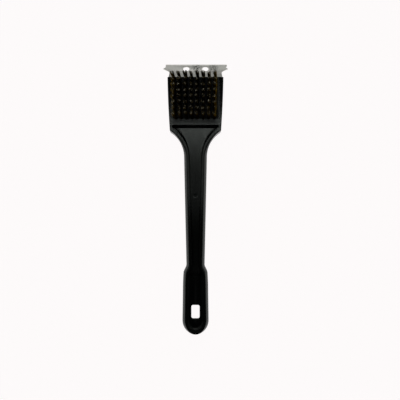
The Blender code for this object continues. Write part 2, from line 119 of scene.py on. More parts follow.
CORE_DRAFT = 0.0003
GATE_MARK = (0.0, 0.0024)
GATE_MARK_RADIUS = 0.0028
GATE_MARK_DEPTH = 0.0003

# Tufts.
COLUMNS = 8
ROWS = 8
FRONT_ROW = 0.1307
REAR_ROW = 0.0883
FRONT_PITCH = 0.00643
REAR_PITCH = 0.00606
TUFT_HEIGHT = TUFT_TIPS - HEAD_FACE
TUFT_LEAN = -0.0015
TUFT_TIP_RADIUS = 0.0021
FIELD_SIDE = 0.0245             # outer side of the outermost columns
TUFT_NECK_RADIUS = 0.0013
TUFT_HOLE_RADIUS = 0.0016
TUFT_HOLE_DEPTH = 0.0032
TUFT_HOLE_CHAMFER = 0.00025
WIRES = 40
WIRE_RADIUS = 0.00018
WIRE_SIDES = 5
WIRE_ROOT = 0.0026              # how far below the face the wires are modelled
CRIMP = 0.00023                 # half of the wave's width
CRIMP_LENGTH = 0.0036
WIRE_BOW = 0.0004
CLUMP_REACH = 0.0008            # how far the clumps of one tuft lean apart
TUFT_SCATTER = 0.0005           # how far a tuft's lean, and the middle of its glint, stray
TIP_SCATTER = 0.00035           # how far a wire's tip strays
TIP_CLEARANCE = 0.0002          # how far the longest wires stay below the top of the CAD tufts
TRIM_SPREAD = 0.00045           # typical and greatest shortening of a wire
TRIM_MOST = 0.0014
CUT_SLOPE = 0.30                # steepest slope of a cut end
GLINT_RADIUS = 0.0009           # the part of each tip where the cut ends are bright
GLINT_BESIDE = 0.06             # and how bright the other ends are

# Scraper and screws.
SHEET = 0.0012
SHEET_EDGE = 0.00012            # rounding of the stamped edges
TONGUE_HEIGHT = 0.0106
TONGUE_HALF = 0.0225
TONGUE_LENGTH = 0.0170
BEND_START = 0.0006
BEND_RADIUS = 0.0018
BEND_ANGLE = math.radians(28)
BLADE_FRONT = BLADE_HIGH.y
BLADE_NECK_HALF = 0.0302
BLADE_WAIST_HALF = 0.02925
BLADE_WAIST = 0.0078
COVE_RADIUS = 0.0040
COVE_ANGLE = math.radians(55)
TOOTH_HALF = BLADE_HIGH.x
TOOTH = 0.0144
NOTCH_HALF = 0.0339
NOTCH = 0.0168
CORNER_HALF = 0.0349
CORNER = 0.0190
EDGE_HALF = 0.0344
EDGE_BEVEL = 0.0009
EDGE_THIN = 0.45
FRONT_SHIFT = 0.0008            # how far the front edge sits to the right of the middle
BLADE_HOLE_X = 0.0108
BLADE_HOLE_SHIFT = 0.0003
BLADE_HOLE_Y = 0.0143
BLADE_HOLE_RADIUS = 0.0036
BLADE_REACH = BLADE_FRONT - HEAD_FRONT - BEND_START - EDGE_THIN * SHEET / 2 * math.sin(BEND_ANGLE)
BLADE_STRAIGHT = (BLADE_REACH - BEND_RADIUS * math.sin(BEND_ANGLE)) / math.cos(BEND_ANGLE)
BLADE_LENGTH = BEND_START + BEND_RADIUS * BEND_ANGLE + BLADE_STRAIGHT
SCREW_X = 0.0127
SCREW_Y = 0.1216
SCREW_RADIUS = 0.0013
SCREW_HEAD_RADIUS = 0.0026
SCREW_HEAD_HEIGHT = 0.0017
SCREW_HEAD_BOTTOM = 0.0004
SCREW_TIP = 0.0148
SCREW_CONE = 0.0016
THREAD_PITCH = 0.0011
THREAD_DEPTH = 0.00028
RECESS_WIDTH = 0.0006
RECESS_LENGTH = 0.0028
RECESS_DEPTH = 0.0009

# Colours and surfaces.
PLASTIC_DARK = (0.0030, 0.0036, 0.0035)
PLASTIC_LIGHT = (0.0060, 0.0068, 0.0065)
PLASTIC_RUBBED = (0.012, 0.013, 0.0125)
# Painted highlight: a pale colour for the face behind the tufts, where light falls.
PLASTIC_PAINTED_HIGHLIGHT = (0.105, 0.114, 0.111)
HEAD_TEXTURE = 0.10             # how much rougher the face behind the tufts is than the handle
SIDE_POLISH = 0.06              # how much smoother the face beside the tufts is
SOOT_TEXTURE = 0.60             # how much rougher the sooty face between the tufts is
STEEL_DARK = (0.60, 0.60, 0.565)
STEEL_LIGHT = (0.66, 0.66, 0.62)
# Painted shade: the colour that the sheet darkens to near the head.
STEEL_PAINTED_SHADE = (0.22, 0.22, 0.20)
STEEL_DARK_MARK = (0.03, 0.03, 0.027)
DARK_MARK_PATCHES = (((0.0010, 0.1475), 0.0075), ((0.0200, 0.1462), 0.0085))    # middle and radius of each patch
SHADE_START = 0.1440             # Y where the painted shade near the head starts, and where it is full
SHADE_FULL = 0.1385
BRASS_DARK = (0.045, 0.031, 0.006)
BRASS_LIGHT = (0.20, 0.142, 0.026)
BRASS_TARNISH = (0.04, 0.026, 0.008)
# Painted shade: the dark colour that the wires take below the tips.
BRASS_PAINTED_SHADE = (0.010, 0.007, 0.0035)
# Painted glint: the colour of the cut ends that glint.
BRASS_CUT_GLINT = (0.96, 0.93, 0.76)
BACKDROP = (1.0, 0.974, 0.974, 1.0)

# Camera and lights.
CAMERA_X = 0.0050
CAMERA_Y = -0.0019
CAMERA_ABOVE_FACE = 0.409
VIEW_HALF_WIDTH = 0.2195        # half of what the camera sees at the height of the face
SENSOR = 36.0                   # millimetres, as Blender counts sensors and lenses
KEY_X = 0.000
KEY_Y = 0.177
KEY_ABOVE_FACE = 0.250
KEY_SIZE = 0.026
KEY_POWER = 0.0040
STRIP_TILTS = (9.8, 11.5)       # degrees from straight up towards +Y at the strip light's long edges
STRIP_SOFT = 0.5                # degrees over which those edges fade, each way
STRIP_HALF_WIDTH = 0.17
STRIP_STRENGTH = 3.6
LOW_BAND_STRENGTH = 0.07
DOME_STRENGTH = 0.002
BELOW_STRENGTH = 0.9
# Round panels, in degrees: from straight up towards +Y, towards +X, outer radius, radius of the full part;
# and their strength.
PANELS = ((3.5, 0.0, 15.5, 0.0, 0.15), (5.0, 19.0, 12.0, 4.0, 0.80), (5.0, -19.0, 12.0, 4.0, 0.80),
          (78.0, 0.0, 34.0, 14.0, 0.62), (0.0, 72.0, 22.0, 8.0, 0.10), (0.0, -62.0, 18.0, 6.0, 0.20),
          (-20.0, 0.0, 6.5, 0.0, 0.07), (-68.0, 0.0, 14.0, 5.0, 0.35))


# ---------------------------------------------------------------- numbers

def clamp(value, low=0.0, high=1.0):
    """The value, kept between low and high."""
    return min(max(value, low), high)


def mix(a, b, t):
    """Go straight from a at t = 0 to b at t = 1."""
    return a + (b - a) * t


def ease(value, start, end):
    """Go smoothly from 0 at start to 1 at end."""
    t = clamp((value - start) / (end - start))
    return t * t * (3 - 2 * t)


def follow(y, stops):
    """Read a smooth curve through (y, value) stops, which run from the front to the rear."""
    if y >= stops[0][0]:
        return stops[0][1]
    for (y0, v0), (y1, v1) in zip(stops, stops[1:]):
        if y >= y1:
            return mix(v0, v1, ease(y, y0, y1))
    return stops[-1][1]


def smooth_least(a, b, blend):
    """The smaller of a and b, rounded off where they cross."""
    t = clamp(0.5 + 0.5 * (b - a) / blend)
    return mix(b, a, t) - blend * t * (1 - t) / 2


def spread(start, end, count):
    """count values from start to end, both included."""
    return [mix(start, end, i / (count - 1)) for i in range(count)]


# ---------------------------------------------------------------- objects

def add_object(name, mesh):
    """Put a mesh into the scene as an object."""
    thing = bpy.data.objects.new(name, mesh)
    bpy.context.scene.collection.objects.link(thing)
    return thing


def mesh_from(name, bm):
    """Turn a bmesh into a mesh whose faces point out, and free it."""
    bmesh.ops.recalc_face_normals(bm, faces=bm.faces)
    mesh = bpy.data.meshes.new(name)
    bm.to_mesh(mesh)
    bm.free()
    return mesh


def cut(thing, cutters):
    """Cut the cutters out of thing, apply the cuts and remove the cutters."""
    for cutter in cutters:
        modifier = thing.modifiers.new(cutter.name, "BOOLEAN")
        modifier.operation = "DIFFERENCE"
        modifier.solver = "EXACT"
        modifier.object = cutter
    evaluated = thing.evaluated_get(bpy.context.evaluated_depsgraph_get())
    mesh = bpy.data.meshes.new_from_object(evaluated)
    mesh.name = thing.name
    thing.modifiers.clear()
    thing.data = mesh
    for cutter in cutters:
        bpy.data.objects.remove(cutter, do_unlink=True)


def finish_piece(piece, material, replaced, smooth_angle=None):
    """Give a new piece its material and body, and hide the CAD nodes that it stands for."""
    if smooth_angle is not None:
        piece.data.shade_smooth()
        piece.data.set_sharp_from_angle(angle=smooth_angle)
    piece.data.materials.clear()
    piece.data.materials.append(material)
    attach(piece, "root")
    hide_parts(*replaced)


# ---------------------------------------------------------------- body

def arc_half(y, radius):
    """Half-width at y of an arc around the shoulder's centre."""
    centre_x = HANDLE_HALF + SHOULDER_RADIUS
    rise = min(y - SHOULDER_END, radius)
    return centre_x - math.sqrt(radius * radius - rise * rise)


def head_half(y):
    """Half-width of the head, whose sides taper and bulge a little."""
    t = (HEAD_FRONT - y) / (HEAD_FRONT - HEAD_REAR)
    return mix(HEAD_FRONT_HALF, HEAD_REAR_HALF, t) + HEAD_BULGE * 4 * t * (1 - t)


def outline_half(y):
    """Half of the body's greatest width at y."""
    if y >= HEAD_REAR + CORNER_BLEND * 2:
        return head_half(y)
    if y >= SHOULDER_END:
        return smooth_least(head_half(y), arc_half(y, SHOULDER_RADIUS), CORNER_BLEND)
    if y >= HANDLE_END:
        return mix(HANDLE_END_HALF, HANDLE_HALF, (y - HANDLE_END) / (SHOULDER_END - HANDLE_END))
    if y >= GRIP_START:
        return mix(GRIP_HALF, HANDLE_END_HALF, ease(y, GRIP_START, HANDLE_END))
    if y >= GRIP_MIDDLE:
        t = (GRIP_START - y) / (GRIP_START - GRIP_MIDDLE)
        return mix(GRIP_HALF, GRIP_MIDDLE_HALF, t * (2 - t))
    return mix(GRIP_MIDDLE_HALF, GRIP_PIVOT_HALF, (GRIP_MIDDLE - y) / (GRIP_MIDDLE - GRIP_PIVOT))


def channel_half(y):
    """Half of the width between the inner edges of the rim."""
    if y >= SHOULDER_END:
        reach = POCKET_FRONT - POCKET_CORNER
        half = arc_half(min(y, reach), SHOULDER_RADIUS + RIM_AT_NECK)
        into_corner = clamp(y - reach, 0.0, POCKET_CORNER)
        return half - POCKET_CORNER + math.sqrt(POCKET_CORNER ** 2 - into_corner ** 2)
    return outline_half(y) - mix(RIM_AT_GRIP, RIM_AT_NECK, ease(y, HANDLE_END, SHOULDER_END))


def channel_depths(y):
    """Depth below the rim in the middle of the channel and at its sides."""
    wall = ease(y, POCKET_FRONT, POCKET_FRONT - POCKET_WALL)
    ramp = max(0.0, (CHANNEL_END - y) / (CHANNEL_END - PANEL_START))
    panel = smooth_least(ramp, 1.0, PANEL_CREASE)
    middle = CHANNEL_DEPTH * wall * (1 - panel)
    side = mix(CHANNEL_DEPTH * wall, PANEL_GROOVE, panel)
    return middle, side


def fillet(before, corner, after, reach, count):
    """count points of an arc that rounds a corner off, starting and ending at most reach away from it."""
    before, corner, after = Vector(before), Vector(corner), Vector(after)
    into, out = corner - before, after - corner
    reach = min(reach, into.length * 0.45, out.length * 0.45)
    turn = into.angle(out, 0.0)
    hold = 2 / 3 if turn < 0.01 else 4 / 3 * math.tan(turn / 4) / math.tan(turn / 2)
    start = corner - into.normalized() * reach
    end = corner + out.normalized() * reach
    start_hold = start.lerp(corner, hold)
    end_hold = end.lerp(corner, hold)
    points = []
    for t in spread(0, 1, count):
        s = 1 - t
        points.append(start * s ** 3 + start_hold * 3 * s * s * t + end_hold * 3 * s * t * t + end * t ** 3)
    return [tuple(point) for point in points]


def half_section(y, inset=0.0):
    """(x, z) points from the middle of the upper side, round the wall, to the middle of the back."""
    top = follow(y, RIM_HEIGHTS) - inset
    back = follow(y, BACK_HEIGHTS) + inset
    half = outline_half(y) - inset - SEAM_PROUD
    inner = channel_half(y)
    middle, side = channel_depths(y)
    foot = inner - CHANNEL_DRAFT
    block = ease(y, SHOULDER_END, HEAD_REAR)
    reach = mix(WALL_ROUND, HEAD_EDGE, block)
    drop = mix(WALL_DROP, HEAD_EDGE, block)
    start = mix(WALL_START, 0.0, block)
    finish = mix(WALL_END, math.pi / 2, block)
    back_reach = mix(BACK_ROUND, HEAD_BACK_EDGE, block)
    back_rise = mix(BACK_RISE, HEAD_BACK_EDGE, block)

    wall = []
    for angle in spread(start, finish, 12):
        out = (math.sin(angle) - math.sin(start)) / (math.sin(finish) - math.sin(start))
        down = (math.cos(start) - math.cos(angle)) / (math.cos(start) - math.cos(finish))
        wall.append((half - reach * (1 - out), top - drop * down))
    underside = []
    for angle in spread(math.pi / 2, 0.0, 12):
        rise = back_rise * (1 - math.cos(angle))
        underside.append((half - back_reach * (1 - math.sin(angle)), back + rise))

    floor = [(foot * t, top - mix(middle, side, t ** 2)) for t in spread(0, 0.8, 8)]
    foot_corner = (foot, top - side)
    inner_corner = (inner, top)
    crown = ((inner + wall[0][0]) / 2, top + RIM_CROWN)
    points = floor
    points += fillet(floor[-1], foot_corner, inner_corner, CHANNEL_FILLET, 7)
    points += fillet(foot_corner, inner_corner, crown, RIM_FILLET, 5)
    points.append(crown)
    points += fillet(crown, wall[0], wall[2], RIM_FILLET, 5)
    middle_height = (wall[-1][1] + underside[0][1]) / 2
    points += wall[2:-1]
    points += fillet(wall[-2], wall[-1], (half, middle_height), WALL_FILLET, 4)
    points.append((half, middle_height + SEAM_HALF))
    points.append((half + SEAM_PROUD, middle_height))
    points.append((half, middle_height - SEAM_HALF))
    points += underside[1:]
    points += [(underside[-1][0] * t, back) for t in (0.66, 0.33, 0.0)]
    return points


def body_stations():
    """Y of each section between the front wall and the grip's end, and how far it is inset."""
    front = []
    for angle in spread(0, math.pi / 2, 7):
        front.append((HEAD_FRONT - FRONT_EDGE * (1 - math.cos(angle)), FRONT_EDGE * (1 - math.sin(angle))))
    stretches = [(HEAD_FRONT - 0.0030, POCKET_FRONT + 0.0010, 18),
                 (POCKET_FRONT + 0.0003, POCKET_FRONT - 0.0026, 22),
                 (POCKET_FRONT - 0.0030, HEAD_REAR - 0.0030, 16),
                 (HEAD_REAR - 0.0036, SHOULDER_END, 36),
                 (SHOULDER_END - 0.0016, HANDLE_END + 0.0020, 46),
                 (HANDLE_END + 0.0010, CHANNEL_END + 0.0010, 18),
                 (CHANNEL_END + 0.0006, PANEL_START - 0.0010, 26),
                 (PANEL_START - 0.0030, GRIP_PIVOT, 26)]
    plain = []
    for start, end, count in stretches:
        plain += [(y, 0.0) for y in spread(start, end, count)]
    return front + plain


def close_grip_end(bm, last):
    """Turn the last half-section about the ellipse's centre, from the right side to the left.

    The rounded wall gets steeper towards the very end, where its reach is END_STEEPER of the sides'.
    """
    steps = 44
    half = len(last) // 2 + 1
    stretch = (GRIP_PIVOT - GRIP_END) / GRIP_PIVOT_HALF
    right = last[:half]
    left = [last[0]] + last[:half - 2:-1]
    widest = max(vert.co.x for vert in right)
    inner = channel_half(GRIP_PIVOT)
    wall = widest - WALL_ROUND
    waist = follow(GRIP_PIVOT, RIM_HEIGHTS) - WALL_DROP
    fans = [right]
    for step in range(1, steps):
        angle = math.pi * step / steps
        reach = WALL_ROUND * mix(1.0, END_STEEPER, math.sin(angle) ** 2)
        spoke = [right[0]]
        for vert in right[1:-1]:
            across, _, z = vert.co
            if z > waist and across > wall:
                across = widest - (widest - across) * reach / WALL_ROUND
            elif z > waist and across > inner:
                across = mix(inner, widest - reach, (across - inner) / (wall - inner))
            x = across * math.cos(angle)
            y = GRIP_PIVOT - across * stretch * math.sin(angle)
            spoke.append(bm.verts.new((x, y, z)))
        fans.append(spoke + [right[-1]])
    fans.append(left)
    for here, there in zip(fans, fans[1:]):
        for i in range(half - 1):
            corners = [here[i], here[i + 1], there[i + 1], there[i]]
            bm.faces.new(list(dict.fromkeys(corners)))


def make_body_mesh():
    """The body before its openings are cut: sections from the front wall to the grip, and the grip's end."""
    bm = bmesh.new()
    rings = []
    for y, inset in body_stations():
        half = half_section(y, inset)
        right = [bm.verts.new((x, y, z)) for x, z in half]
        left = [bm.verts.new((-x, y, z)) for x, z in reversed(half[1:-1])]
        rings.append(right + left)
    count = len(rings[0])
    for ahead, behind in zip(rings, rings[1:]):
        for i in range(count):
            j = (i + 1) % count
            bm.faces.new((ahead[i], ahead[j], behind[j], behind[i]))
    centre = bm.verts.new((0, HEAD_FRONT, HEAD_FACE / 2))
    for i in range(count):
        bm.faces.new((centre, rings[0][(i + 1) % count], rings[0][i]))
    close_grip_end(bm, rings[-1])
    return mesh_from("body", bm)


def lathe(name, profile, steps):
    """Turn an (radius, z) profile that starts and ends on the axis."""
    bm = bmesh.new()
    verts = [bm.verts.new((radius, 0, z)) for radius, z in profile]
    edges = [bm.edges.new(pair) for pair in zip(verts, verts[1:])]
    bmesh.ops.spin(bm, geom=verts + edges, cent=(0, 0, 0), axis=(0, 0, 1), angle=2 * math.pi,
                   steps=steps, use_merge=True)
    bmesh.ops.remove_doubles(bm, verts=bm.verts, dist=1e-7)
    return mesh_from(name, bm)


def tuft_places():
    """Row, column and foot of each tuft. Row 1 is the front row and column 1 is at -X."""
    places = []
    for row in range(ROWS):
        y = mix(FRONT_ROW, REAR_ROW, row / (ROWS - 1))
        pitch = mix(FRONT_PITCH, REAR_PITCH, row / (ROWS - 1))
        for column in range(COLUMNS):
            x = (column - (COLUMNS - 1) / 2) * pitch
            places.append((row + 1, column + 1, Vector((x, y, HEAD_FACE))))
    return places


def tuft_hole_cutter():
    """One cutter with all the holes for the tufts, each with a small chamfer at the face."""
    above = 0.0005
    flare = TUFT_HOLE_CHAMFER + above
    profile = [(0, above), (TUFT_HOLE_RADIUS + flare, above), (TUFT_HOLE_RADIUS, -TUFT_HOLE_CHAMFER),
               (TUFT_HOLE_RADIUS, -TUFT_HOLE_DEPTH), (0, -TUFT_HOLE_DEPTH)]
    one = lathe("tuft_hole", profile, 20)
    whole = bmesh.new()
    for _, _, place in tuft_places():
        first = len(whole.verts)
        whole.from_mesh(one)
        whole.verts.ensure_lookup_table()
        bmesh.ops.translate(whole, verts=whole.verts[first:], vec=place)
    return add_object("tuft_holes", mesh_from("tuft_holes", whole))


def slot_cutter():
    """The slot in the head's front wall that takes the scraper's tongue."""
    half = TONGUE_HALF + GAP
    low = TONGUE_HEIGHT - SHEET / 2 - GAP
    bm = bmesh.new()
    bmesh.ops.create_cube(bm, size=1)
    size = Vector((2 * half, TONGUE_LENGTH + GAP + 0.002, SHEET + 2 * GAP))
    bmesh.ops.scale(bm, verts=bm.verts, vec=size)
    middle = Vector((0, HEAD_FRONT + 0.002 - size.y / 2, low + size.z / 2))
    bmesh.ops.translate(bm, verts=bm.verts, vec=middle)
    return add_object("scraper_slot", mesh_from("scraper_slot", bm))


def screw_hole_cutter(side):
    """The counterbored hole of the screw on one side (-1 or 1), up from the head's back."""
    bore = SCREW_HEAD_RADIUS + GAP
    seat = SCREW_HEAD_BOTTOM + SCREW_HEAD_HEIGHT + GAP
    chamfer = 0.0003
    profile = [(0, -0.001), (bore + chamfer + 0.001, -0.001), (bore, chamfer), (bore, seat),
               (SCREW_RADIUS + GAP, seat), (SCREW_RADIUS + GAP, SCREW_TIP + GAP), (0, SCREW_TIP + GAP)]
    cutter = add_object(f"screw_hole_{side}", lathe("screw_hole", profile, 48))
    cutter.location = (side * SCREW_X, SCREW_Y, 0)
    return cutter


def gate_mark_cutter():
    """A shallow dish with the broken-off gate standing in its middle."""
    floor = follow(GATE_MARK[1], RIM_HEIGHTS) - CHANNEL_DEPTH
    radius, depth = GATE_MARK_RADIUS, GATE_MARK_DEPTH
    profile = [(0, -depth * 0.2), (radius * 0.22, -depth * 0.25), (radius * 0.3, -depth),
               (radius * 0.8, -depth), (radius * 0.93, -depth * 0.7), (radius, 0.0),
               (radius * 1.3, 0.001), (0, 0.001)]
    cutter = add_object("gate_mark", lathe("gate_mark", profile, 40))
    cutter.location = (*GATE_MARK, floor)
    return cutter


def rounded_rectangle(x0, x1, y0, y1, radius, steps):
    """Points around a rectangle with round corners, each corner an arc of that many steps."""
    centres = [(x1 - radius, y1 - radius, 0), (x0 + radius, y1 - radius, 1),
               (x0 + radius, y0 + radius, 2), (x1 - radius, y0 + radius, 3)]
    points = []
    for x, y, quarter in centres:
        for step in range(steps + 1):
            angle = math.pi / 2 * (quarter + step / steps)
            points.append((x + radius * math.cos(angle), y + radius * math.sin(angle)))
    return points


def panel_height(x, y):
    """Z of the grip's crowned panel."""
    middle, side = channel_depths(y)
    foot = channel_half(max(y, GRIP_PIVOT)) - CHANNEL_DRAFT
    return follow(y, RIM_HEIGHTS) - mix(middle, side, min(abs(x) / foot, 1.0) ** 2)


def loft_cutter(name, box, corner, levels):
    """A rounded rectangle, box, carried through levels of (growth, height as a function of x and y)."""
    x0, x1, y0, y1 = box
    bm = bmesh.new()
    rings = []
    for grow, height in levels:
        outline = rounded_rectangle(x0 - grow, x1 + grow, y0 - grow, y1 + grow, corner + grow, 9)
        rings.append([bm.verts.new((x, y, height(x, y))) for x, y in outline])
    for upper, lower in zip(rings, rings[1:]):
        for i in range(len(upper)):
            j = (i + 1) % len(upper)
            bm.faces.new((upper[i], upper[j], lower[j], lower[i]))
    for ring in (rings[0], rings[-1]):
        bm.faces.new(ring)
    return add_object(name, mesh_from(name, bm))


def flare():
    """(growth, depth below the surface) of a hole's rounded rim, from CLEAR above the surface down."""
    arc = [(HOLE_FLARE * (1 - math.sin(angle)), HOLE_FLARE * (1 - math.cos(angle)))
           for angle in spread(math.radians(25), math.pi / 2, 6)]
    return [(HOLE_FLARE + 2 * CLEAR, -CLEAR)] + arc


def hanging_hole_cutter():
    """The hole through the web, whose rim at the panel is rounded."""
    levels = [(HOLE_FLARE + 2 * CLEAR, lambda x, y: HEAD_FACE)]
    for grow, below in flare():
        levels.append((grow, lambda x, y, below=below: panel_height(x, y) - below))
    levels.append((0.0, lambda x, y: CORE_ROOF - CLEAR))
    box = (-HOLE_WIDTH / 2, HOLE_WIDTH / 2, HOLE_REAR, HOLE_FRONT)
    return loft_cutter("hanging_hole", box, HOLE_CORNER, levels)


def core_cutter():
    """The hollow in the grip's back, with a little draft and a rounded rim."""
    levels = [(-CORE_DRAFT, lambda x, y: CORE_ROOF)]
    for grow, above in reversed(flare()):
        levels.append((grow, lambda x, y, above=above: above))
    return loft_cutter("core", (-CORE_HALF, CORE_HALF, CORE_REAR, CORE_FRONT), CORE_CORNER, levels)


def make_body(plastic):
    """The one-piece moulding, with every opening cut."""
    body = add_object("body_shell", make_body_mesh())
    cutters = [tuft_hole_cutter(), slot_cutter(), screw_hole_cutter(-1), screw_hole_cutter(1),
               core_cutter(), hanging_hole_cutter(), gate_mark_cutter()]
    cut(body, cutters)
    finish_piece(body, plastic, ["brush_body"], math.radians(32))


# ---------------------------------------------------------------- scraper

def scraper_side(side):
    """Points of the flat sheet on one side (-1 or 1), as (x, distance from the head's front wall)."""
    points = [(TONGUE_HALF, -TONGUE_LENGTH), (TONGUE_HALF, GAP), (BLADE_NECK_HALF, GAP)]
    for angle in spread(0, COVE_ANGLE, 12):
        x = BLADE_WAIST_HALF + COVE_RADIUS * (1 - math.cos(angle))
        points.append((x, BLADE_WAIST + COVE_RADIUS * math.sin(angle)))
    shift = FRONT_SHIFT * side
    points += [(TOOTH_HALF, TOOTH), (NOTCH_HALF, NOTCH), (CORNER_HALF + shift, CORNER),
               (EDGE_HALF + shift, BLADE_LENGTH)]
    return [(side * x, distance) for x, distance in points]


def circle(x, y, radius, count):
    """count points around a circle."""
    return [(x + radius * math.cos(2 * math.pi * i / count), y + radius * math.sin(2 * math.pi * i / count))
            for i in range(count)]


def bend(distance, height):
    """Carry a point of the flat sheet to its place on the bent sheet, as (y, z)."""
    turned = clamp((distance - BEND_START) / BEND_RADIUS, 0.0, BEND_ANGLE)
    straight = distance - BEND_START - BEND_RADIUS * turned
    y = BEND_START + (BEND_RADIUS + height) * math.sin(turned) + straight * math.cos(turned)
    z = (BEND_RADIUS + height) * math.cos(turned) - BEND_RADIUS - straight * math.sin(turned)
    return HEAD_FRONT + y, TONGUE_HEIGHT + z


def make_scraper(steel):
    """The scraper: a flat sheet with its holes, carried onto its bend, with a thinned front edge."""
    loops = [scraper_side(1) + scraper_side(-1)[::-1]]
    for side in (-1, 1):
        loops.append(circle(side * BLADE_HOLE_X + BLADE_HOLE_SHIFT, BLADE_HOLE_Y, BLADE_HOLE_RADIUS, 64))
        loops.append(circle(side * SCREW_X, SCREW_Y - HEAD_FRONT, SCREW_RADIUS + GAP, 24))
    curve = bpy.data.curves.new("sheet", "CURVE")
    curve.dimensions = "2D"
    curve.fill_mode = "BOTH"
    curve.extrude = SHEET / 2 - SHEET_EDGE
    curve.bevel_depth = SHEET_EDGE
    curve.bevel_resolution = 1
    curve.offset = -SHEET_EDGE
    for loop in loops:
        spline = curve.splines.new("POLY")
        spline.points.add(len(loop) - 1)
        for point, (x, y) in zip(spline.points, loop):
            point.co = (x, y, 0, 1)
        spline.use_cyclic_u = True
    flat = bpy.data.objects.new("sheet", curve)
    bm = bmesh.new()
    bm.from_mesh(flat.to_mesh())
    flat.to_mesh_clear()
    bpy.data.objects.remove(flat, do_unlink=True)
    bmesh.ops.remove_doubles(bm, verts=bm.verts, dist=1e-6)
    creases = spread(BEND_START, BEND_START + BEND_RADIUS * BEND_ANGLE, 11)
    creases += spread(BLADE_LENGTH - EDGE_BEVEL, BLADE_LENGTH - EDGE_BEVEL * 0.3, 2)
    for crease in creases:
        everything = bm.verts[:] + bm.edges[:] + bm.faces[:]
        bmesh.ops.bisect_plane(bm, geom=everything, plane_co=(0, crease, 0), plane_no=(0, 1, 0), dist=1e-6)
    for vert in bm.verts:
        distance, height = vert.co.y, vert.co.z
        past = clamp((distance - (BLADE_LENGTH - EDGE_BEVEL)) / EDGE_BEVEL)
        vert.co.y, vert.co.z = bend(distance, height * mix(1, EDGE_THIN, past))
    blade = add_object("scraper_plate", mesh_from("scraper_plate", bm))
    finish_piece(blade, steel, ["scraper_blade"], math.radians(32))


# ---------------------------------------------------------------- screws

def recess_cutter(name):
    """A cross whose arms taper towards its bottom."""
    bm = bmesh.new()
    rings = []
    for z, size in ((-0.0005, 1.15), (RECESS_DEPTH, 0.55)):
        ring = []
        for quarter in range(4):
            turn = Matrix.Rotation(quarter * math.pi / 2, 3, "Z")
            arm = [(RECESS_WIDTH / 2, -RECESS_WIDTH / 2), (RECESS_LENGTH / 2 * size, -RECESS_WIDTH / 2),
                   (RECESS_LENGTH / 2 * size, RECESS_WIDTH / 2)]
            ring += [bm.verts.new(turn @ Vector((x, y, z))) for x, y in arm]
        rings.append(ring)
    low, high = rings
    for i in range(len(low)):
        j = (i + 1) % len(low)
        bm.faces.new((low[i], low[j], high[j], high[i]))
    bm.faces.new(low)
    bm.faces.new(high)
    return add_object(name, mesh_from(name, bm))


def make_screw(name, side):
    """A pan-head self-tapping screw whose head lies in the counterbore of the head's back."""
    seat = SCREW_HEAD_HEIGHT
    end = SCREW_TIP - SCREW_HEAD_BOTTOM
    radius = SCREW_HEAD_RADIUS
    profile = [(0, 0)]
    for angle in spread(math.radians(8), math.radians(88), 9):
        profile.append((radius * math.sin(angle) ** 0.8, seat * 0.62 * (1 - math.cos(angle))))
    profile += [(radius, seat * 0.7), (radius, seat - 0.00008), (radius - 0.00008, seat)]
    core = SCREW_RADIUS - THREAD_DEPTH
    profile.append((core, seat))
    z = seat + THREAD_PITCH / 2
    while z < end - SCREW_CONE - THREAD_PITCH:
        profile += [(core, z), (SCREW_RADIUS, z + THREAD_PITCH * 0.35),
                    (SCREW_RADIUS, z + THREAD_PITCH * 0.42), (core, z + THREAD_PITCH * 0.77)]
        z += THREAD_PITCH
    profile += [(core, end - SCREW_CONE), (core * 0.25, end - 0.0001), (0, end)]
    screw = add_object(name, lathe(name, profile, 48))
    cut(screw, [recess_cutter(name + "_recess")])
    screw.data.transform(Matrix.Rotation(math.radians(20) * side, 4, "Z"))
    screw.data.transform(Matrix.Translation((side * SCREW_X, SCREW_Y, SCREW_HEAD_BOTTOM)))
    return screw


def make_screws(zinc):
    """The two screws that hold the scraper's tongue."""
    for side, word in ((-1, "left"), (1, "right")):
        screw = make_screw(f"screw_{word}", side)
        finish_piece(screw, zinc, [f"scraper_screw_{word}"], math.radians(34))


# ---------------------------------------------------------------- tufts

def random_disc(rng, radius):
    """A random point in a disc."""
    angle = rng.uniform(0, 2 * math.pi)
    return Vector((math.cos(angle), math.sin(angle))) * radius * math.sqrt(rng.random())


def wire_rings(rng, foot, tip, rise):
    """Centres of the rings of one crimped wire, from inside the hole to its cut end."""
    bow = random_disc(rng, WIRE_BOW)
    wave_angle = rng.uniform(0, math.pi)
    wave_way = Vector((math.cos(wave_angle), math.sin(wave_angle)))
    phase = rng.uniform(0, 2 * math.pi)
    length = CRIMP_LENGTH * rng.uniform(0.9, 1.12)
    count = round((WIRE_ROOT + rise) / (CRIMP_LENGTH / 4)) + 1
    centres = []
    for z in spread(-WIRE_ROOT, rise, count):
        t = clamp(z / rise)
        free = clamp(z / 0.003 + 0.2)
        line = foot.lerp(tip, t ** 0.8) + bow * 4 * t * (1 - t)
        wave = wave_way * CRIMP * free * math.sin(2 * math.pi * z / length + phase)
        centres.append(Vector((line.x + wave.x, line.y + wave.y, z)))
    return centres


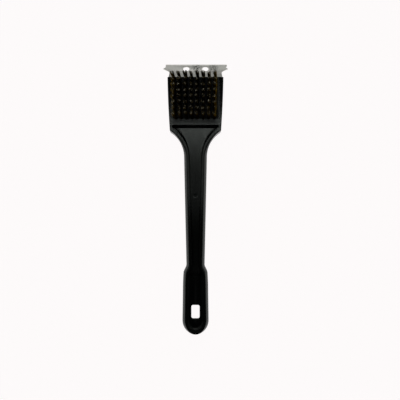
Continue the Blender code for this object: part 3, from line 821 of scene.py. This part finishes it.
def make_tuft_mesh(name, rng):
    """One tuft of crimped wires about its foot, with two values on each face for its material."""
    verts, faces, shades, ends = [], [], [], []
    clumps = [random_disc(rng, CLUMP_REACH) for _ in range(rng.choice((2, 3, 3)))]
    lean = Vector((TUFT_LEAN, 0.0)) + random_disc(rng, TUFT_SCATTER)
    room = TUFT_TIP_RADIUS * rng.uniform(0.84, 0.98)
    glint = random_disc(rng, TUFT_SCATTER)
    longest = TUFT_HEIGHT - TIP_CLEARANCE
    for wire in range(WIRES):
        turn = wire * math.pi * (3 - math.sqrt(5))
        share = math.sqrt((wire + 0.5) / WIRES)
        way = Vector((math.cos(turn), math.sin(turn)))
        foot = way * share * (TUFT_NECK_RADIUS - WIRE_RADIUS)
        clump = min(clumps, key=lambda point: (point - foot).length)
        tip = way * share * (room - CLUMP_REACH * 0.6) + clump + lean + random_disc(rng, TIP_SCATTER)
        rise = longest - min(abs(rng.gauss(0, TRIM_SPREAD)), TRIM_MOST)
        shade = rng.random()
        # Painted glint: the cut ends near one spot of each tip are bright, the others dull.
        bright = 1.0 if (way * share * room - glint).length < GLINT_RADIUS else GLINT_BESIDE
        slope = random_disc(rng, CUT_SLOPE)
        centres = wire_rings(rng, foot, tip, rise)
        first = len(verts)
        for step, centre in enumerate(centres):
            for side in range(WIRE_SIDES):
                angle = 2 * math.pi * side / WIRE_SIDES
                offset = Vector((math.cos(angle), math.sin(angle))) * WIRE_RADIUS
                tilt = slope.dot(offset) - slope.length * WIRE_RADIUS if step == len(centres) - 1 else 0.0
                verts.append((centre.x + offset.x, centre.y + offset.y, centre.z + tilt))
        for step in range(len(centres) - 1):
            low = first + step * WIRE_SIDES
            for side in range(WIRE_SIDES):
                after = (side + 1) % WIRE_SIDES
                faces.append((low + side, low + after, low + WIRE_SIDES + after, low + WIRE_SIDES + side))
                shades.append(shade)
                ends.append(0.0)
        last = first + (len(centres) - 1) * WIRE_SIDES
        faces.append(tuple(last + side for side in range(WIRE_SIDES)))
        faces.append(tuple(first + side for side in reversed(range(WIRE_SIDES))))
        shades += [shade, shade]
        ends += [bright, bright]
    mesh = bpy.data.meshes.new(name)
    mesh.from_pydata(verts, [], faces)
    mesh.polygons.foreach_set("use_smooth", [end == 0.0 for end in ends])
    mesh.attributes.new("wire_shade", "FLOAT", "FACE").data.foreach_set("value", shades)
    mesh.attributes.new("cut_end_glint", "FLOAT", "FACE").data.foreach_set("value", ends)
    return mesh


def make_tufts(brass):
    """All 64 tufts. Two neighbours in a column stand for one CAD node."""
    for row, column, place in tuft_places():
        name = f"tuft_row_{row}_column_{column}"
        rng = random.Random(100 * row + column)
        mesh = make_tuft_mesh(name, rng)
        mesh.transform(Matrix.Translation(place))
        tuft = add_object(name, mesh)
        first = row - 1 + row % 2
        finish_piece(tuft, brass, [f"tufts_rows_{first}_{first + 1}_column_{column}"])


# ---------------------------------------------------------------- materials

def add_node(tree, kind, inputs=None, **settings):
    """Add a shader node. An input is set to a value, or linked if the value is a socket."""
    node = tree.nodes.new(kind)
    for name, value in settings.items():
        setattr(node, name, value)
    for name, value in (inputs or {}).items():
        if isinstance(value, bpy.types.NodeSocket):
            tree.links.new(value, node.inputs[name])
        else:
            node.inputs[name].default_value = value
    return node


def new_material(name):
    """A new material, its node tree, its shader and its place on the object, in metres."""
    material = bpy.data.materials.new(name)
    material.use_nodes = True
    tree = material.node_tree
    place = add_node(tree, "ShaderNodeTexCoord").outputs["Object"]
    return material, tree, tree.nodes["Principled BSDF"], place


def noise(tree, place, scale, detail=2.0, stretch=(1, 1, 1), roughness=0.5):
    """Noise from 0 to 1, with grains about 1 / scale metres across, divided by stretch along each axis."""
    mapped = add_node(tree, "ShaderNodeMapping", {"Vector": place, "Scale": stretch}).outputs["Vector"]
    inputs = {"Vector": mapped, "Scale": scale, "Detail": detail, "Roughness": roughness}
    return add_node(tree, "ShaderNodeTexNoise", inputs).outputs["Fac"]


def ranged(tree, value, low, high, to_low=0.0, to_high=1.0):
    """Carry a value from low..high to to_low..to_high, and stop at the ends."""
    inputs = {"Value": value, "From Min": low, "From Max": high, "To Min": to_low, "To Max": to_high}
    return add_node(tree, "ShaderNodeMapRange", inputs).outputs["Result"]


def maths(tree, operation, a, b=0.0):
    """One step of arithmetic on values or sockets."""
    return add_node(tree, "ShaderNodeMath", {0: a, 1: b}, operation=operation).outputs["Value"]


def blend_colors(tree, share, a, b):
    """Colour a where share is 0 and colour b where it is 1."""
    node = add_node(tree, "ShaderNodeMix", {0: share}, data_type="RGBA")
    for index, value in ((6, a), (7, b)):
        if isinstance(value, bpy.types.NodeSocket):
            tree.links.new(value, node.inputs[index])
        else:
            node.inputs[index].default_value = (*value, 1.0)
    return node.outputs[2]


def bump(tree, height, depth, below=None):
    """Bumps of that depth in metres, over another bump's normal."""
    inputs = {"Height": height, "Distance": depth, "Strength": 1.0}
    if below is not None:
        inputs["Normal"] = below
    return add_node(tree, "ShaderNodeBump", inputs).outputs["Normal"]


def spot(tree, place, centre, radius):
    """1 in the middle of a soft round spot in the XY plane, and 0 from radius on."""
    offset = add_node(tree, "ShaderNodeVectorMath", {0: place, 1: (*centre, 0.0)}, operation="SUBTRACT")
    flat = add_node(tree, "ShaderNodeVectorMath", {0: offset.outputs[0], 1: (1, 1, 0)}, operation="MULTIPLY")
    length = add_node(tree, "ShaderNodeVectorMath", {0: flat.outputs[0]}, operation="LENGTH")
    return ranged(tree, length.outputs["Value"], radius, radius * 0.2)


def head_face_shares(tree, place):
    """Where the head's face lies behind the tufts, beside them and between them."""
    split = add_node(tree, "ShaderNodeSeparateXYZ", {0: place})
    y = split.outputs["Y"]
    aside = maths(tree, "ABSOLUTE", split.outputs["X"])
    on_face = ranged(tree, split.outputs["Z"], HEAD_FACE - 0.0006, HEAD_FACE - 0.0002)
    on_head = maths(tree, "MULTIPLY", ranged(tree, y, POCKET_FRONT, POCKET_FRONT + 0.0008), on_face)
    behind = maths(tree, "MULTIPLY", on_head, ranged(tree, y, REAR_ROW, REAR_ROW - 0.0020))
    beside = maths(tree, "MULTIPLY", on_head, ranged(tree, aside, 0.0235, 0.0250))
    between = maths(tree, "MULTIPLY", ranged(tree, aside, 0.0270, 0.0230), on_head)
    between = maths(tree, "MULTIPLY", between, ranged(tree, y, REAR_ROW - 0.0012, REAR_ROW - 0.0004))
    return behind, beside, between


def make_plastic():
    """Black moulded polypropylene: satin, with grain, a little orange peel and faint rubbed edges.

    The head's face is painted pale behind the tufts as a painted highlight; it is polished beside them and
    sooty between them.
    """
    material, tree, shader, place = new_material("black_plastic")
    peel = noise(tree, place, 380, 3.0)
    grain = noise(tree, place, 1000, 3.0)
    flow = noise(tree, place, 160, 3.0, (1, 0.12, 1))
    behind, beside, between = head_face_shares(tree, place)
    rubbed = ranged(tree, add_node(tree, "ShaderNodeNewGeometry").outputs["Pointiness"], 0.53, 0.62)
    rubbed = maths(tree, "MULTIPLY", rubbed, ranged(tree, noise(tree, place, 300, 4.0), 0.42, 0.62))
    color = blend_colors(tree, ranged(tree, flow, 0.3, 0.7), PLASTIC_DARK, PLASTIC_LIGHT)
    color = blend_colors(tree, rubbed, color, PLASTIC_RUBBED)
    # Painted highlight: the face behind the tufts is painted pale.
    color = blend_colors(tree, behind, color, PLASTIC_PAINTED_HIGHLIGHT)
    tree.links.new(color, shader.inputs["Base Color"])
    rough = ranged(tree, peel, 0.3, 0.7, 0.150, 0.175)
    rough = maths(tree, "ADD", rough, ranged(tree, flow, 0.3, 0.7, -0.015, 0.015))
    for share, change in ((behind, HEAD_TEXTURE), (beside, -SIDE_POLISH), (between, SOOT_TEXTURE)):
        rough = maths(tree, "ADD", rough, maths(tree, "MULTIPLY", share, change))
    tree.links.new(rough, shader.inputs["Roughness"])
    shader.inputs["IOR"].default_value = 1.49
    shader.inputs["Specular Tint"].default_value = (0.92, 1.0, 0.95, 1.0)
    normal = bump(tree, peel, 0.000016)
    normal = bump(tree, grain, 0.000013, normal)
    tree.links.new(normal, shader.inputs["Normal"])
    return material


def make_steel():
    """Stamped stainless sheet: fine brushing along X, dark marks, and painted shade near the head."""
    material, tree, shader, place = new_material("scraper_steel")
    brushing = noise(tree, place, 2200, 2.0, (0.02, 1, 1))
    cloud = noise(tree, place, 260, 4.0)
    marks = noise(tree, place, 1000, 5.0, roughness=0.7)
    # Dark, rougher marks: strong in two patches, faint elsewhere.
    near = maths(tree, "MAXIMUM", *[spot(tree, place, middle, radius) for middle, radius in DARK_MARK_PATCHES])
    faint = maths(tree, "MAXIMUM", near, 0.10)
    dark_mark = maths(tree, "MULTIPLY", ranged(tree, marks, 0.475, 0.520), faint)
    color = blend_colors(tree, ranged(tree, cloud, 0.3, 0.7), STEEL_DARK, STEEL_LIGHT)
    y = add_node(tree, "ShaderNodeSeparateXYZ", {0: place}).outputs["Y"]
    # Painted shade: the sheet is painted darker towards the head.
    color = blend_colors(tree, ranged(tree, y, SHADE_START, SHADE_FULL, 0.0, 0.6), color, STEEL_PAINTED_SHADE)
    color = blend_colors(tree, dark_mark, color, STEEL_DARK_MARK)
    tree.links.new(color, shader.inputs["Base Color"])
    shader.inputs["Metallic"].default_value = 1.0
    rough = ranged(tree, cloud, 0.3, 0.7, 0.27, 0.34)
    rough = maths(tree, "ADD", rough, maths(tree, "MULTIPLY", dark_mark, 0.2))
    tree.links.new(rough, shader.inputs["Roughness"])
    normal = bump(tree, brushing, 0.0000025)
    normal = bump(tree, marks, 0.000004, normal)
    tree.links.new(normal, shader.inputs["Normal"])
    return material


def make_zinc():
    """Zinc-plated screw steel: slightly yellow clouds over fine turning marks."""
    material, tree, shader, place = new_material("zinc_plated_steel")
    cloud = noise(tree, place, 900, 4.0)
    fine = noise(tree, place, 4000, 3.0)
    color = blend_colors(tree, ranged(tree, cloud, 0.35, 0.65), (0.50, 0.50, 0.50), (0.62, 0.61, 0.56))
    tree.links.new(color, shader.inputs["Base Color"])
    shader.inputs["Metallic"].default_value = 1.0
    tree.links.new(ranged(tree, fine, 0.3, 0.7, 0.28, 0.42), shader.inputs["Roughness"])
    tree.links.new(bump(tree, fine, 0.000004), shader.inputs["Normal"])
    return material


def make_brass():
    """Crimped brass wire, its cut ends painted bright where they glint, with painted shade below the tips,
    less on the outside.
    """
    material, tree, shader, place = new_material("brass_wire")
    wire = add_node(tree, "ShaderNodeAttribute", attribute_name="wire_shade").outputs["Fac"]
    end = add_node(tree, "ShaderNodeAttribute", attribute_name="cut_end_glint").outputs["Fac"]
    split = add_node(tree, "ShaderNodeSeparateXYZ", {0: place})
    height = split.outputs["Z"]
    aside = maths(tree, "ABSOLUTE", maths(tree, "ADD", split.outputs["X"], -TUFT_LEAN * 0.7))
    tarnish = noise(tree, place, 900, 3.0)
    color = blend_colors(tree, wire, BRASS_DARK, BRASS_LIGHT)
    color = blend_colors(tree, ranged(tree, tarnish, 0.45, 0.7), color, BRASS_TARNISH)
    # Painted shade: the wires darken below the tips, less on the outer columns.
    painted_shade = ranged(tree, height, TUFT_TIPS - 0.0004, TUFT_TIPS - 0.0034, 0.0, 0.985)
    painted_shade = maths(tree, "MULTIPLY", painted_shade, ranged(tree, aside, FIELD_SIDE - 0.0022, FIELD_SIDE, 1.0, 0.72))
    color = blend_colors(tree, painted_shade, color, BRASS_PAINTED_SHADE)
    # Painted glint: bright cut ends where the tips glint.
    color = blend_colors(tree, end, color, BRASS_CUT_GLINT)
    tree.links.new(color, shader.inputs["Base Color"])
    shader.inputs["Metallic"].default_value = 1.0
    shader.inputs["Specular Tint"].default_value = (0.80, 0.64, 0.36, 1.0)
    tree.links.new(ranged(tree, tarnish, 0.3, 0.7, 0.30, 0.48), shader.inputs["Roughness"])
    tree.links.new(bump(tree, noise(tree, place, 6000, 2.0), 0.000006), shader.inputs["Normal"])
    return material


# ---------------------------------------------------------------- stage

def make_floor():
    """A wide pale floor, which glows a little so that it stays even."""
    bm = bmesh.new()
    bmesh.ops.create_grid(bm, x_segments=1, y_segments=1, size=6.0)
    floor = add_object("floor", mesh_from("floor", bm))
    material = bpy.data.materials.new("pale_floor")
    material.use_nodes = True
    shader = material.node_tree.nodes["Principled BSDF"]
    shader.inputs["Base Color"].default_value = (0.15, 0.147, 0.147, 1.0)
    shader.inputs["Roughness"].default_value = 1.0
    shader.inputs["Specular IOR Level"].default_value = 0.0
    shader.inputs["Emission Color"].default_value = BACKDROP
    shader.inputs["Emission Strength"].default_value = 0.965
    floor.data.materials.append(material)


def direction(degrees_from_up, side):
    """A direction tilted from straight up towards +Y, and by side degrees towards +X."""
    forward = math.radians(degrees_from_up)
    across = math.radians(side)
    flat = math.cos(across)
    return Vector((math.sin(across), math.sin(forward) * flat, math.cos(forward) * flat))


def strip_light(tree, tilt, across):
    """1 inside the strip. tilt is in radians from straight up towards +Y, and across is 0 in the middle."""
    low, high = [math.radians(degrees) for degrees in STRIP_TILTS]
    soft = math.radians(STRIP_SOFT)
    inside = maths(tree, "MULTIPLY", ranged(tree, tilt, low - soft, low + soft),
                   ranged(tree, tilt, high + soft, high - soft))
    wide = ranged(tree, across, STRIP_HALF_WIDTH * 1.2, STRIP_HALF_WIDTH * 0.8)
    return maths(tree, "MULTIPLY", inside, wide)


def round_panel(tree, way, toward, outer, inner, strength):
    """A round glow about a direction, full inside inner degrees and 0 from outer degrees on."""
    close = add_node(tree, "ShaderNodeVectorMath", {0: way, 1: toward}, operation="DOT_PRODUCT")
    inputs = {"Value": close.outputs["Value"], "From Min": math.cos(math.radians(outer)),
              "From Max": math.cos(math.radians(inner)), "To Min": 0.0, "To Max": strength}
    return add_node(tree, "ShaderNodeMapRange", inputs, interpolation_type="SMOOTHSTEP").outputs["Result"]


def make_world():
    """A dim dome with a strip light over the head, round panels, a low band, and a glow below the horizon.

    The camera sees the plain backdrop instead of them.
    """
    world = bpy.data.worlds.new("studio")
    bpy.context.scene.world = world
    world.use_nodes = True
    tree = world.node_tree
    tree.nodes.clear()
    way = add_node(tree, "ShaderNodeTexCoord").outputs["Generated"]
    split = add_node(tree, "ShaderNodeSeparateXYZ", {0: way})
    up = split.outputs["Z"]
    tilt = maths(tree, "ARCTAN2", split.outputs["Y"], up)
    across = maths(tree, "ABSOLUTE", split.outputs["X"])
    total = maths(tree, "MULTIPLY", strip_light(tree, tilt, across), STRIP_STRENGTH)
    low_band = maths(tree, "MULTIPLY", ranged(tree, up, 0.12, 0.28), ranged(tree, up, 0.62, 0.50))
    total = maths(tree, "ADD", total, maths(tree, "MULTIPLY", low_band, LOW_BAND_STRENGTH))
    total = maths(tree, "ADD", total, ranged(tree, up, -0.10, -0.80, DOME_STRENGTH, BELOW_STRENGTH))
    for forward, side, outer, inner, strength in PANELS:
        glow = round_panel(tree, way, direction(forward, side), outer, inner, strength)
        total = maths(tree, "ADD", total, glow)
    light = add_node(tree, "ShaderNodeBackground", {"Color": (1.0, 1.0, 0.985, 1.0), "Strength": total})
    seen = add_node(tree, "ShaderNodeBackground", {"Color": BACKDROP, "Strength": 0.98})
    is_camera = add_node(tree, "ShaderNodeLightPath").outputs["Is Camera Ray"]
    both = add_node(tree, "ShaderNodeMixShader", {0: is_camera, 1: light.outputs[0], 2: seen.outputs[0]})
    add_node(tree, "ShaderNodeOutputWorld", {"Surface": both.outputs[0]})


def make_key_light():
    """A small soft lamp close above the head."""
    data = bpy.data.lights.new("key", "AREA")
    data.shape = "DISK"
    data.size = KEY_SIZE
    data.energy = KEY_POWER
    data.color = (1.0, 1.0, 0.98)
    lamp = bpy.data.objects.new("key", data)
    bpy.context.scene.collection.objects.link(lamp)
    lamp.location = (KEY_X, KEY_Y, HEAD_FACE + KEY_ABOVE_FACE)


def make_camera():
    """Straight above the handle, looking down, with the scraper at the top of the picture."""
    data = bpy.data.cameras.new("camera")
    data.sensor_width = SENSOR
    data.lens = SENSOR / 2 * CAMERA_ABOVE_FACE / VIEW_HALF_WIDTH
    data.clip_start = 0.01
    data.clip_end = 20.0
    camera = bpy.data.objects.new("camera", data)
    bpy.context.scene.collection.objects.link(camera)
    camera.location = (CAMERA_X, CAMERA_Y, HEAD_FACE + CAMERA_ABOVE_FACE)
    bpy.context.scene.camera = camera


def main():
    """Build the brush and its stage."""
    bpy.context.scene.view_settings.view_transform = "Standard"
    make_body(make_plastic())
    make_scraper(make_steel())
    make_screws(make_zinc())
    make_tufts(make_brass())
    make_floor()
    make_world()
    make_key_light()
    make_camera()


main()
